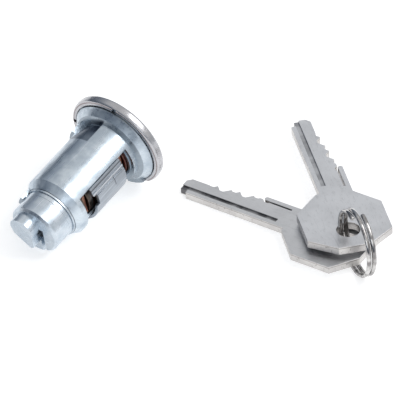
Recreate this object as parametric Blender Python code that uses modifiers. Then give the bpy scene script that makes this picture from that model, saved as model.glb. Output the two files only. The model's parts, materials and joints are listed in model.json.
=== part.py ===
"""Wafer lock cylinder with a slotted drive tail, and its two keys on a split ring.

Metres, +Z up. The set lies on the plane z = 0 with the lock on the left and the keys on the right.
Lock pieces are modelled in the lock's own frame: z runs along the axis from the flange's rim
towards the tail, and angles are counted in degrees from x towards y.
"""
import math

import bpy
import bmesh
from mathutils import Matrix, Vector

# Clearances between pieces
FIT = 0.0003
FIT_DEGREES = 1.5

# Face cap, a pressed cup rolled round the flange
FLANGE_RADIUS = 0.01385
CAP_SHEET = 0.0005
CAP_CROWN = 0.0009
RIM_ROUND = 0.0008
RIM_SIDE = 0.0010
LIP_WIDTH = 0.00135
LIP_GAP_FROM = -46.5
LIP_GAP_TO = -16.5
LIP_NOTCH_ANGLES = (115.0, 208.0)
LIP_NOTCH_WIDTH = 0.0012
LIP_NOTCH_DEPTH = 0.0011
FACE_SLOT_MARGIN = 0.0004

# Housing, stations along the axis
SEAT_FRONT = -0.0005
SEAT_BACK = 0.0016
COLLAR_STEP = 0.0008
COLLAR_FRONT = 0.0020
COLLAR_NECK_STEP = 0.0015
COLLAR_NECK = 0.0033
BARREL_RADIUS = 0.0091
BARREL_FRONT = 0.0039
BARREL_REAR = 0.0263
HOUSING_REAR_WALL = 0.0003
HOUSING_REAR = 0.0284
FLANGE_LUG_DEPTH = 0.0022

# Window in the barrel, its through slot and its cover strip
WINDOW_FROM = -30.0
WINDOW_TO = 70.0
WINDOW_FRONT = 0.0053
WINDOW_REAR = 0.0249
WINDOW_FLOOR_RADIUS = 0.00795
LOCK_SLOT_HALF_DEGREES = 29.0
STRIP_FRONT = 0.0085
STRIP_REAR = 0.0208
STRIP_THICKNESS = 0.0008
STRIP_NOTCH_LENGTH = 0.0012
STRIP_NOTCH_FROM = 30.0
STRIP_NOTCH_TO = 52.0
STRIP_GROOVE_ANGLES = (57.5, 49.5)
STRIP_GROOVE_WIDTH = 0.0004
STRIP_GROOVE_DEPTH = 0.0003

# Ramped notch and lugs on the barrel
NOTCH_FROM = 126.5
NOTCH_TO = 179.0
NOTCH_LENGTH = 0.0065
NOTCH_FLOOR_RADIUS = 0.0080
FRONT_LUG_FROM = 180.0
FRONT_LUG_TO = 205.0
FRONT_LUG_RADIUS = 0.0101
FRONT_LUG_LENGTH = 0.0040
REAR_LUG_FROM = 179.0
REAR_LUG_TO = 201.0
REAR_LUG_RADIUS = 0.0082
REAR_LUG_THICKNESS = 0.00065
REAR_LUG_OVERHANG = 0.0012
REAR_TOOTH_DEPTH = 0.0009
REAR_LUG_ROOT = 0.0010

# Plug
PLUG_RADIUS = 0.0071
PLUG_HEAD_RADIUS = 0.0079
PLUG_HEAD_LENGTH = 0.0014
PLUG_FRONT = -0.0010
SPIGOT_RADIUS = 0.0046
SPIGOT_LENGTH = 0.0056
QUARTER_TURN = 90.0

# Wafers and their springs
WAFER_COUNT = 6
WAFER_ANGLE = 37.0
WAFER_FIRST = 0.0069
WAFER_PITCH = 0.0031
WAFER_THICKNESS = 0.0009
WAFER_HALF_WIDTH = 0.0030
WAFER_TOP = 0.0063
WAFER_BOTTOM = 0.0061
WAFER_TRAVEL = 0.0010
EAR_REACH = 0.0019
EAR_THICKNESS = 0.0010
EAR_BASE = 0.0020
SPRING_WIRE = 0.0003
SPRING_DIAMETER = 0.0013
SPRING_TURNS = 3
SPRING_PITCH = 0.0008

# Stop ring, drive tail and its pin
STOP_RING_LENGTH = 0.0013
TAIL_RADIUS = 0.0072
TAIL_LENGTH = 0.0054
BOSS_LENGTH = 0.0031
BOSS_CENTRE = (-0.0023, 0.0009)
BOSS_RADIUS = 0.0037
BOSS_ARC_FROM = 25.0
BOSS_ARC_TO = 178.0
BOSS_TOE = 0.0031
BOSS_SOLE = 0.0021
BOSS_CORNER = 0.0013
TAIL_SLOT_WIDTH = 0.0012
TAIL_SLOT_DEPTH = 0.0019
TAIL_SLOT_ANGLE = -57.0
TAIL_SLOT_OFFSET = 0.0025
TAIL_SLOT_START = 0.0018
PIN_RADIUS = 0.0008
PIN_PLACE = 0.0018
PIN_SHORT = 0.0003
PIN_ANGLE = 0.0

# Keys, measured from the centre of the bow's hole
KEY_THICKNESS = 0.0022
KEY_HOLE_RADIUS = 0.0031
BOW_BACK = 0.0069
BOW_BACK_HALF = 0.0042
BOW_SIDE_BACK = 0.0018
BOW_SIDE_FRONT = 0.0095
BOW_HALF = 0.0112
BOW_FRONT = 0.0163
BOW_FRONT_HALF = 0.0044
BLADE_LENGTH = 0.0315
BLADE_BACK_EDGE = 0.0034
BLADE_CUT_EDGE = 0.0039
TIP_CHAMFER = 0.0012
TIP_DROP = 0.0019
TIP_STEP = 0.0012
TIP_STEP_LENGTH = 0.0022
CUT_CODES = (2, 1, 4, 3, 6, 5)
CUT_STEP = 0.0004
CUT_FLAT = 0.0010
FINGER_LENGTH = 0.0102
FINGER_WIDTH = 0.0013
FINGER_SLIT = 0.0005
FINGER_SLIT_ROOT = 0.0017
GROOVE_WIDTH = 0.0012
GROOVE_DEPTH = 0.0005
GROOVE_START = 0.0030
GROOVE_OFFSETS = (0.0016, -0.0006)

# Split ring
RING_RADIUS = 0.0087
RING_WIRE = 0.0010
RING_TURNS = 2
RING_PITCH = 0.00145

# Poses on the floor
LOCK_PLACE = (-0.0294, 0.0197)
LOCK_HEADING = 52.8
LOCK_UP_ANGLE = 121.0
RING_PLACE = (0.03165, -0.0152)
RING_HEADING = 112.1
KEY_1_HEADING = 148.7
KEY_1_HOLE_FROM_RING = 0.0071
KEY_1_HOLE_ASIDE = -0.0004
KEY_1_LIFT = 0.0021
KEY_2_HEADING = 104.0
KEY_2_HOLE_FROM_RING = 0.0073
KEY_2_HOLE_ASIDE = 0.0006
KEY_2_TILT = 4.0

# Facets
ROUND_STEPS = 64
CORE_STEPS = 48
ARC_STEPS = 4
SECTOR_STEP = 6.0
TURN_POINTS = 24
SPRING_POINTS = 9
ROD_STEPS = 16
SHARP_ANGLE = 35.0
MERGE_DISTANCE = 1e-6
FRAME_SIZE = 0.005

# Places that follow from the sizes above
CAP_FRONT = SEAT_FRONT - RIM_ROUND - CAP_CROWN
LIP_INNER_RADIUS = FLANGE_RADIUS - LIP_WIDTH
COLLAR_RADIUS = LIP_INNER_RADIUS - COLLAR_STEP
COLLAR_NECK_RADIUS = BARREL_RADIUS + COLLAR_NECK_STEP
SEAT_RADIUS = FLANGE_RADIUS - CAP_SHEET - FIT
BORE_RADIUS = PLUG_RADIUS + FIT
HOUSING_REAR_RADIUS = BORE_RADIUS + HOUSING_REAR_WALL
PLUG_REAR = HOUSING_REAR + FIT
STRIP_RADIUS = WINDOW_FLOOR_RADIUS + FIT + STRIP_THICKNESS
STOP_RING_FRONT = PLUG_REAR + FIT
STOP_RING_REAR = STOP_RING_FRONT + STOP_RING_LENGTH
STOP_RING_RADIUS = TAIL_RADIUS
TAIL_FRONT = STOP_RING_REAR + FIT
REAR_LUG_INNER = REAR_LUG_RADIUS - REAR_LUG_THICKNESS
REAR_TOOTH_INNER = REAR_LUG_INNER - REAR_TOOTH_DEPTH
TAIL_REAR = TAIL_FRONT + TAIL_LENGTH
KEY_TIP = BOW_FRONT + BLADE_LENGTH
EAR_CENTRE = WAFER_HALF_WIDTH + FIT + (SPRING_DIAMETER + SPRING_WIRE) / 2
SPRING_LENGTH = SPRING_TURNS * SPRING_PITCH + SPRING_WIRE


def clear_scene():
    for old in list(bpy.data.objects):
        bpy.data.objects.remove(old, do_unlink=True)


def new_collection(name):
    group = bpy.data.collections.new(name)
    bpy.context.scene.collection.children.link(group)
    return group


def metal(name, colour, roughness):
    mat = bpy.data.materials.new(name)
    mat.use_nodes = True
    shader = mat.node_tree.nodes["Principled BSDF"]
    shader.inputs["Base Color"].default_value = (*colour, 1.0)
    shader.inputs["Metallic"].default_value = 1.0
    shader.inputs["Roughness"].default_value = roughness
    return mat


def add_object(name, data, parent, group):
    obj = bpy.data.objects.new(name, data)
    group.objects.link(obj)
    obj.parent = parent
    return obj


def finish(obj, mat):
    """Gives a piece its material and smooth round faces."""
    obj.data.materials.append(mat)
    if obj.type == "MESH":
        obj.data.shade_smooth()
        obj.data.set_sharp_from_angle(angle=math.radians(SHARP_ANGLE))
    return obj


def as_cutter(obj):
    obj.hide_render = True
    obj.display_type = "WIRE"
    return obj


def polar(radius, degrees):
    angle = math.radians(degrees)
    return (radius * math.cos(angle), radius * math.sin(angle))


def arc(centre, radius, start, end, steps):
    """Points on an arc, from start to end in degrees."""
    points = []
    for i in range(steps + 1):
        x, y = polar(radius, start + (end - start) * i / steps)
        points.append((centre[0] + x, centre[1] + y))
    return points


def outline_mesh(name, loops, thickness):
    """A flat outline with holes, extruded to a thickness about z = 0."""
    curve = bpy.data.curves.new(name, "CURVE")
    curve.dimensions = "2D"
    curve.fill_mode = "BOTH"
    curve.extrude = thickness / 2
    for loop in loops:
        spline = curve.splines.new("POLY")
        spline.points.add(len(loop) - 1)
        for point, (x, y) in zip(spline.points, loop):
            point.co = (x, y, 0, 1)
        spline.use_cyclic_u = True
    source = bpy.data.objects.new(name, curve)
    bpy.context.scene.collection.objects.link(source)
    graph = bpy.context.evaluated_depsgraph_get()
    mesh = bpy.data.meshes.new_from_object(source.evaluated_get(graph))
    bpy.data.objects.remove(source, do_unlink=True)
    bpy.data.curves.remove(curve)
    bm = bmesh.new()
    bm.from_mesh(mesh)
    bmesh.ops.remove_doubles(bm, verts=bm.verts, dist=MERGE_DISTANCE)
    bmesh.ops.dissolve_degenerate(bm, edges=bm.edges, dist=MERGE_DISTANCE)
    bmesh.ops.recalc_face_normals(bm, faces=bm.faces)
    bm.to_mesh(mesh)
    bm.free()
    mesh.name = name
    return mesh


def turned(name, profile, steps, closed, parent, group):
    """A profile of (radius, z) points, tail end first on its outer side, turned about z."""
    mesh = bpy.data.meshes.new(name)
    edges = [(i, i + 1) for i in range(len(profile) - 1)]
    if closed:
        edges.append((len(profile) - 1, 0))
    mesh.from_pydata([(r, 0, z) for r, z in profile], edges, [])
    obj = add_object(name, mesh, parent, group)
    screw = obj.modifiers.new("turn", "SCREW")
    screw.axis = "Z"
    screw.steps = steps
    screw.render_steps = steps
    screw.use_merge_vertices = True
    screw.merge_threshold = MERGE_DISTANCE
    screw.use_smooth_shade = True
    return obj


def box(name, size, centre, parent, group, turn=0.0):
    """A block; turn rotates it about z, with its centre given before the turn."""
    bm = bmesh.new()
    bmesh.ops.create_cube(bm, size=1.0)
    bmesh.ops.scale(bm, vec=size, verts=bm.verts)
    bmesh.ops.translate(bm, vec=centre, verts=bm.verts)
    mesh = bpy.data.meshes.new(name)
    bm.to_mesh(mesh)
    bm.free()
    obj = add_object(name, mesh, parent, group)
    obj.rotation_euler.z = math.radians(turn)
    return obj


def rod(name, radius, length, parent, group):
    """A round bar along z about its middle."""
    bm = bmesh.new()
    bmesh.ops.create_cone(
        bm, cap_ends=True, segments=ROD_STEPS, radius1=radius, radius2=radius, depth=length)
    mesh = bpy.data.meshes.new(name)
    bm.to_mesh(mesh)
    bm.free()
    return add_object(name, mesh, parent, group)


def sector(name, radii, angles, stations, parent, group):
    """A piece of a round wall between two radii, two angles and two stations on the axis."""
    steps = max(2, round(abs(angles[1] - angles[0]) / SECTOR_STEP))
    loop = arc((0, 0), radii[1], angles[0], angles[1], steps)
    loop += arc((0, 0), radii[0], angles[1], angles[0], steps)
    mesh = outline_mesh(name, [loop], stations[1] - stations[0])
    obj = add_object(name, mesh, parent, group)
    obj.location.z = (stations[0] + stations[1]) / 2
    return obj


def combine(target, tool, operation):
    modifier = target.modifiers.new(tool.name, "BOOLEAN")
    modifier.operation = operation
    modifier.solver = "EXACT"
    modifier.object = as_cutter(tool)


def cut(target, *tools):
    for tool in tools:
        combine(target, tool, "DIFFERENCE")


def join(target, *tools):
    for tool in tools:
        combine(target, tool, "UNION")


def empty(name, parent, group):
    obj = add_object(name, None, parent, group)
    obj.empty_display_size = FRAME_SIZE
    return obj


def lock_matrix():
    """The lock lies on its flange's rim and on the edge behind it that touches first."""
    contacts = (
        (FLANGE_RADIUS - BARREL_RADIUS, BARREL_REAR),
        (FLANGE_RADIUS - TAIL_RADIUS, TAIL_REAR),
    )
    tilt = min(math.atan2(drop, reach) for drop, reach in contacts)
    heading = math.radians(LOCK_HEADING)
    tail = -Vector((
        math.cos(tilt) * math.cos(heading), math.cos(tilt) * math.sin(heading), math.sin(tilt)))
    up = (Vector((0, 0, 1)) - tail * tail.z).normalized()
    side = up.cross(tail)
    turn = Matrix((side, up, tail)).transposed().to_4x4()
    roll = Matrix.Rotation(math.radians(90 - LOCK_UP_ANGLE), 4, "Z")
    rim_drop = FLANGE_RADIUS * math.cos(tilt) + RIM_SIDE / 2 * math.sin(tilt)
    place = Matrix.Translation((*LOCK_PLACE, rim_drop))
    return place @ turn @ roll


def key_matrix(heading, tilt, place):
    """Key frame: x towards the tip, y away from the cuts, z up, origin in the hole."""
    turn = Matrix.Rotation(math.radians(heading), 4, "Z")
    lean = Matrix.Rotation(math.radians(tilt), 4, "Y")
    return Matrix.Translation(place) @ turn @ lean


def face_slot_size():
    width = KEY_THICKNESS + 2 * FIT + 2 * FACE_SLOT_MARGIN
    top = BLADE_CUT_EDGE + FINGER_WIDTH + FIT + FACE_SLOT_MARGIN
    bottom = BLADE_BACK_EDGE + FIT + FACE_SLOT_MARGIN
    return width, top, bottom


def make_face_cap(mat, lock, parts, cutters):
    rim_centre = FLANGE_RADIUS - RIM_ROUND
    front = SEAT_FRONT
    back = front + RIM_SIDE
    inner_round = RIM_ROUND - CAP_SHEET
    lip_back = back + RIM_ROUND
    outside = [(LIP_INNER_RADIUS, lip_back)]
    outside += arc((rim_centre, back), RIM_ROUND, 90, 0, ARC_STEPS)
    outside += arc((rim_centre, front), RIM_ROUND, 0, -90, ARC_STEPS)
    crown = [(rim_centre * (1 - i / ARC_STEPS), i / ARC_STEPS) for i in range(1, ARC_STEPS + 1)]
    for radius, share in crown:
        outside.append((radius, front - RIM_ROUND - CAP_CROWN * (1 - (1 - share) ** 2)))
    inside = []
    for radius, share in reversed(crown):
        inside.append((radius, front - inner_round - CAP_CROWN * (1 - (1 - share) ** 2)))
    inside += arc((rim_centre, front), inner_round, -90, 0, ARC_STEPS)
    inside += arc((rim_centre, back), inner_round, 0, 90, ARC_STEPS)
    inside.append((LIP_INNER_RADIUS, lip_back - CAP_SHEET))
    cap = turned("face_cap", outside + inside, ROUND_STEPS, True, lock, parts)

    gap_front = front + RIM_ROUND
    gap = sector(
        "lip_gap", (LIP_INNER_RADIUS - 2 * FIT, FLANGE_RADIUS + FIT), (LIP_GAP_FROM, LIP_GAP_TO),
        (gap_front, lip_back + FIT), lock, cutters)
    cut(cap, gap)
    for i, angle in enumerate(LIP_NOTCH_ANGLES):
        centre = (LIP_INNER_RADIUS, 0, lip_back)
        size = (2 * LIP_NOTCH_DEPTH, LIP_NOTCH_WIDTH, 2 * (CAP_SHEET + FIT))
        cut(cap, box(f"lip_notch_{i + 1}", size, centre, lock, cutters, angle))
    width, top, bottom = face_slot_size()
    size = (width, top + bottom, 2 * (RIM_ROUND + CAP_CROWN))
    centre = (0, (top - bottom) / 2, CAP_FRONT)
    cut(cap, box("face_slot", size, centre, lock, cutters, WAFER_ANGLE - 90))
    return finish(cap, mat)


def make_housing(mat, lock, parts, cutters):
    seat_step = SEAT_FRONT + RIM_SIDE
    step_radius = LIP_INNER_RADIUS - FIT
    head_bore = PLUG_HEAD_RADIUS + FIT
    head_back = PLUG_FRONT + PLUG_HEAD_LENGTH + FIT
    profile = [
        (HOUSING_REAR_RADIUS, HOUSING_REAR),
        (BARREL_RADIUS, BARREL_REAR),
        (BARREL_RADIUS, BARREL_FRONT),
        (COLLAR_NECK_RADIUS, COLLAR_NECK),
        (COLLAR_RADIUS, COLLAR_FRONT),
        (step_radius, SEAT_BACK),
        (step_radius, seat_step),
        (SEAT_RADIUS, seat_step),
        (SEAT_RADIUS, SEAT_FRONT),
        (head_bore, SEAT_FRONT),
        (head_bore, head_back),
        (BORE_RADIUS, head_back),
        (BORE_RADIUS, HOUSING_REAR),
    ]
    housing = turned("housing", profile, ROUND_STEPS, True, lock, parts)
    join(
        housing,
        sector("flange_lug", (COLLAR_NECK_RADIUS - FIT, SEAT_RADIUS - FIT / 2),
               (LIP_GAP_FROM + FIT_DEGREES, LIP_GAP_TO - FIT_DEGREES),
               (0, FLANGE_LUG_DEPTH), lock, cutters),
        sector("front_lug", (BARREL_RADIUS - 2 * FIT, FRONT_LUG_RADIUS),
               (FRONT_LUG_FROM, FRONT_LUG_TO),
               (COLLAR_NECK - FIT, COLLAR_NECK + FRONT_LUG_LENGTH), lock, cutters),
        sector("rear_lug", (REAR_LUG_INNER, REAR_LUG_RADIUS), (REAR_LUG_FROM, REAR_LUG_TO),
               (BARREL_REAR - REAR_LUG_ROOT, STOP_RING_REAR + REAR_LUG_OVERHANG), lock, cutters),
        sector("rear_tooth", (REAR_TOOTH_INNER, REAR_LUG_INNER + FIT / 2),
               (REAR_LUG_FROM + FIT_DEGREES, REAR_LUG_TO - FIT_DEGREES),
               (STOP_RING_FRONT, STOP_RING_REAR), lock, cutters),
    )
    notch = sector(
        "ramped_notch", (NOTCH_FLOOR_RADIUS, FRONT_LUG_RADIUS), (NOTCH_FROM, NOTCH_TO),
        (BARREL_FRONT - FIT / 2, BARREL_FRONT + NOTCH_LENGTH), lock, cutters)
    rise = (BARREL_RADIUS + FIT) / NOTCH_FLOOR_RADIUS
    middle = (NOTCH_FLOOR_RADIUS + FRONT_LUG_RADIUS) / 2
    for vertex in notch.data.vertices:
        if vertex.co.z > 0 and vertex.co.xy.length < middle:
            vertex.co.xy *= rise
    window = sector(
        "window_pocket", (WINDOW_FLOOR_RADIUS, BARREL_RADIUS + FIT), (WINDOW_FROM, WINDOW_TO),
        (WINDOW_FRONT, WINDOW_REAR), lock, cutters)
    slot = sector(
        "lock_slot", (BORE_RADIUS - 2 * FIT, BARREL_RADIUS + FIT),
        (WAFER_ANGLE - LOCK_SLOT_HALF_DEGREES, WAFER_ANGLE + LOCK_SLOT_HALF_DEGREES),
        (WINDOW_FRONT + FIT, WINDOW_REAR - FIT), lock, cutters)
    cut(housing, notch, window, slot)
    return finish(housing, mat)


def make_cover_strip(mat, lock, parts, cutters):
    angles = (WINDOW_FROM + FIT_DEGREES * 1.5, WINDOW_TO - FIT_DEGREES * 1.5)
    strip = sector(
        "cover_strip", (STRIP_RADIUS - STRIP_THICKNESS, STRIP_RADIUS), angles,
        (STRIP_FRONT, STRIP_REAR), lock, parts)
    notch = sector(
        "strip_notch", (STRIP_RADIUS - 2 * STRIP_THICKNESS, STRIP_RADIUS + FIT),
        (STRIP_NOTCH_FROM, STRIP_NOTCH_TO),
        (STRIP_REAR - STRIP_NOTCH_LENGTH, STRIP_REAR + FIT), lock, cutters)
    cut(strip, notch)
    length = STRIP_REAR - STRIP_FRONT + 2 * FIT
    for i, angle in enumerate(STRIP_GROOVE_ANGLES):
        size = (2 * STRIP_GROOVE_DEPTH, STRIP_GROOVE_WIDTH, length)
        centre = (STRIP_RADIUS, 0, (STRIP_FRONT + STRIP_REAR) / 2)
        cut(strip, box(f"strip_groove_{i + 1}", size, centre, lock, cutters, angle))
    return finish(strip, mat)


def wafer_station(index):
    return WAFER_FIRST + index * WAFER_PITCH


def keyway_cutter(lock, cutters):
    """Room for the blade, and beside its first stretch for the finger."""
    start = PLUG_FRONT - FIT
    blade_end = BLADE_LENGTH + CAP_FRONT + FIT
    finger_end = FINGER_LENGTH + CAP_FRONT + FIT
    blade_top = BLADE_CUT_EDGE + FIT
    finger_top = blade_top + FINGER_WIDTH
    bottom = -BLADE_BACK_EDGE - FIT
    loop = [
        (start, bottom), (blade_end, bottom), (blade_end, blade_top),
        (finger_end, blade_top), (finger_end, finger_top), (start, finger_top),
    ]
    keyway = add_object(
        "keyway", outline_mesh("keyway", [loop], KEY_THICKNESS + 2 * FIT), lock, cutters)
    along = Vector((0, 0, 1))
    height = Vector((*polar(1, WAFER_ANGLE), 0))
    keyway.matrix_basis = Matrix((along, height, along.cross(height))).transposed().to_4x4()
    return keyway


def make_plug(mat, lock, parts, cutters):
    head_back = PLUG_FRONT + PLUG_HEAD_LENGTH
    profile = [
        (0, PLUG_REAR + SPIGOT_LENGTH),
        (SPIGOT_RADIUS, PLUG_REAR + SPIGOT_LENGTH),
        (SPIGOT_RADIUS, PLUG_REAR),
        (PLUG_RADIUS, PLUG_REAR),
        (PLUG_RADIUS, head_back),
        (PLUG_HEAD_RADIUS, head_back),
        (PLUG_HEAD_RADIUS, PLUG_FRONT),
        (0, PLUG_FRONT),
    ]
    plug = turned("plug", profile, CORE_STEPS, False, lock, parts)
    turn = WAFER_ANGLE - 90
    cut(plug, keyway_cutter(lock, cutters))
    gap = WAFER_THICKNESS + 2 * FIT
    half = WAFER_HALF_WIDTH + FIT
    pocket_width = SPRING_DIAMETER + SPRING_WIRE + 2 * FIT
    pocket_top = EAR_BASE + EAR_THICKNESS + WAFER_TRAVEL + FIT
    pocket_bottom = EAR_BASE - SPRING_LENGTH - 2 * FIT
    for i in range(WAFER_COUNT):
        z = wafer_station(i)
        cut(plug, box(f"wafer_slot_{i + 1}", (2 * half, 3 * PLUG_RADIUS, gap), (0, 0, z),
                      lock, cutters, turn))
        reach = EAR_CENTRE + pocket_width / 2
        cut(plug, box(f"spring_pocket_{i + 1}", (reach, pocket_top - pocket_bottom, pocket_width),
                      (reach / 2, (pocket_top + pocket_bottom) / 2, z), lock, cutters, turn))
    hole = rod("spigot_hole", PIN_RADIUS + FIT, 3 * TAIL_RADIUS, lock, cutters)
    hole.rotation_euler = (math.radians(90), 0, math.radians(PIN_ANGLE + 90))
    hole.location.z = TAIL_FRONT + PIN_PLACE
    cut(plug, hole)
    return finish(plug, mat)


def make_wafer(index, mat, lock, parts):
    """A brass plate with a window for the blade and an ear for its spring."""
    half = WAFER_HALF_WIDTH
    station = wafer_station(index)
    ear_top = EAR_BASE + EAR_THICKNESS
    outer = [
        (-half, -WAFER_BOTTOM), (half, -WAFER_BOTTOM), (half, EAR_BASE),
        (half + EAR_REACH, EAR_BASE), (half + EAR_REACH, ear_top), (half, ear_top),
        (half, WAFER_TOP), (-half, WAFER_TOP),
    ]
    window_top = BLADE_CUT_EDGE - CUT_CODES[index] * CUT_STEP + FIT
    if station < FINGER_LENGTH + CAP_FRONT + FIT:
        window_top = BLADE_CUT_EDGE + FINGER_WIDTH + FIT
    window_bottom = BLADE_BACK_EDGE + WAFER_TRAVEL + FIT
    side = KEY_THICKNESS / 2 + FIT
    window = [(-side, -window_bottom), (side, -window_bottom), (side, window_top), (-side, window_top)]
    name = f"wafer_{index + 1}"
    wafer = add_object(name, outline_mesh(name, [outer, window], WAFER_THICKNESS), lock, parts)
    wafer.location.z = station
    wafer.rotation_euler.z = math.radians(WAFER_ANGLE - 90)
    return finish(wafer, mat)


def tube(name, points, wire, bevel_resolution, parent, group):
    curve = bpy.data.curves.new(name, "CURVE")
    curve.dimensions = "3D"
    curve.bevel_depth = wire / 2
    curve.bevel_resolution = bevel_resolution
    curve.use_fill_caps = True
    spline = curve.splines.new("POLY")
    spline.points.add(len(points) - 1)
    for point, place in zip(spline.points, points):
        point.co = (*place, 1)
    return add_object(name, curve, parent, group)


def coil_points(radius, pitch, turns, points_per_turn, lead):
    """A helix about y that climbs from y = 0, with its first point at the angle lead."""
    points = []
    for i in range(turns * points_per_turn + 1):
        share = i / points_per_turn
        x, z = polar(radius, lead + 360 * share)
        points.append((x, pitch * share, z))
    return points


def report_gap(name, points, points_per_turn, wire):
    """Prints the least gap of a coil to itself, measured between points half a turn or more apart."""
    least = math.inf
    for i, first in enumerate(points):
        for second in points[i + points_per_turn // 2:]:
            least = min(least, math.dist(first, second))
    print(f"{name}: least gap to itself {1000 * (least - wire):.2f} mm")


def make_wafer_spring(index, mat, lock, parts):
    points = coil_points(SPRING_DIAMETER / 2, SPRING_PITCH, SPRING_TURNS, SPRING_POINTS, 0)
    name = f"wafer_spring_{index + 1}"
    report_gap(name, points, SPRING_POINTS, SPRING_WIRE)
    bottom = EAR_BASE - FIT - SPRING_LENGTH + SPRING_WIRE / 2
    placed = [(x + EAR_CENTRE, y + bottom, z) for x, y, z in points]
    spring = tube(name, placed, SPRING_WIRE, 1, lock, parts)
    spring.location.z = wafer_station(index)
    spring.rotation_euler.z = math.radians(WAFER_ANGLE - 90)
    return finish(spring, mat)


def make_stop_ring(mat, lock, parts, cutters):
    bore = SPIGOT_RADIUS + FIT
    profile = [
        (STOP_RING_RADIUS, STOP_RING_REAR), (STOP_RING_RADIUS, STOP_RING_FRONT),
        (bore, STOP_RING_FRONT), (bore, STOP_RING_REAR),
    ]
    ring = turned("stop_ring", profile, ROUND_STEPS, True, lock, parts)
    notch = sector(
        "stop_notch", (REAR_TOOTH_INNER - FIT, STOP_RING_RADIUS + FIT),
        (REAR_LUG_FROM - FIT_DEGREES, REAR_LUG_TO + QUARTER_TURN + FIT_DEGREES),
        (STOP_RING_FRONT - FIT, STOP_RING_REAR + FIT), lock, cutters)
    cut(ring, notch)
    return finish(ring, mat)


def make_drive_tail(mat, lock, parts, cutters):
    bore = SPIGOT_RADIUS + FIT
    spigot_end = PLUG_REAR + SPIGOT_LENGTH + FIT
    profile = [
        (0, TAIL_REAR),
        (TAIL_RADIUS - 2 * FIT, TAIL_REAR),
        (TAIL_RADIUS, TAIL_REAR - 2 * FIT),
        (TAIL_RADIUS, TAIL_FRONT),
        (bore, TAIL_FRONT),
        (bore, spigot_end),
        (0, spigot_end),
    ]
    tail = turned("drive_tail", profile, ROUND_STEPS, False, lock, parts)
    loop = arc(BOSS_CENTRE, BOSS_RADIUS, BOSS_ARC_FROM, BOSS_ARC_TO, ARC_STEPS * 4)
    heel = BOSS_CENTRE[0] - BOSS_RADIUS
    loop += [
        (heel + BOSS_CORNER / 2, -BOSS_CORNER / 2),
        (heel + 2 * BOSS_CORNER, -BOSS_SOLE),
        (BOSS_TOE - BOSS_CORNER / 2, -BOSS_SOLE),
        (BOSS_TOE, -BOSS_CORNER / 2),
    ]
    depth = BOSS_LENGTH + 2 * FIT
    boss = add_object("boss", outline_mesh("boss", [loop], depth), lock, cutters)
    boss.location.z = TAIL_REAR + BOSS_LENGTH - depth / 2
    join(tail, boss)
    reach = TAIL_RADIUS + TAIL_SLOT_START + FIT
    slot = box(
        "tail_slot", (reach, TAIL_SLOT_WIDTH, TAIL_SLOT_DEPTH + BOSS_LENGTH + FIT),
        (reach / 2 - TAIL_SLOT_START + FIT, TAIL_SLOT_OFFSET,
         TAIL_REAR - TAIL_SLOT_DEPTH + (TAIL_SLOT_DEPTH + BOSS_LENGTH + FIT) / 2),
        lock, cutters, TAIL_SLOT_ANGLE)
    hole = rod("tail_pin_hole", PIN_RADIUS + FIT, 3 * TAIL_RADIUS, lock, cutters)
    hole.rotation_euler = (math.radians(90), 0, math.radians(PIN_ANGLE + 90))
    hole.location.z = TAIL_FRONT + PIN_PLACE
    cut(tail, slot, hole)
    return finish(tail, mat)


def make_tail_pin(mat, lock, parts):
    pin = rod("tail_pin", PIN_RADIUS, 2 * (TAIL_RADIUS - PIN_SHORT), lock, parts)
    pin.rotation_euler = (math.radians(90), 0, math.radians(PIN_ANGLE + 90))
    pin.location.z = TAIL_FRONT + PIN_PLACE
    return finish(pin, mat)


def cut_place(index):
    """Distance from the hole to a cut, with the bow's shoulder against the cap's face."""
    return BOW_FRONT + wafer_station(index) - CAP_FRONT


def cut_edge():
    """The blade's cut edge from the first cut to the last, as (along, height) points."""
    points = []
    half = CUT_FLAT / 2
    for i, code in enumerate(CUT_CODES):
        place = cut_place(i)
        depth = code * CUT_STEP
        if i == 0:
            points.append((place - half - depth, BLADE_CUT_EDGE))
        points.append((place - half, BLADE_CUT_EDGE - depth))
        points.append((place + half, BLADE_CUT_EDGE - depth))
        if i == len(CUT_CODES) - 1:
            points.append((place + half + depth - TIP_DROP, BLADE_CUT_EDGE - TIP_DROP))
            continue
        far = cut_place(i + 1) - half
        far_depth = CUT_CODES[i + 1] * CUT_STEP
        span = far - place - half
        peak = (depth + far_depth - span) / 2
        if peak > 0:
            points.append((place + half + depth - peak, BLADE_CUT_EDGE - peak))
        else:
            points.append((place + half + depth, BLADE_CUT_EDGE))
            points.append((far - far_depth, BLADE_CUT_EDGE))
    return points


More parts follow.
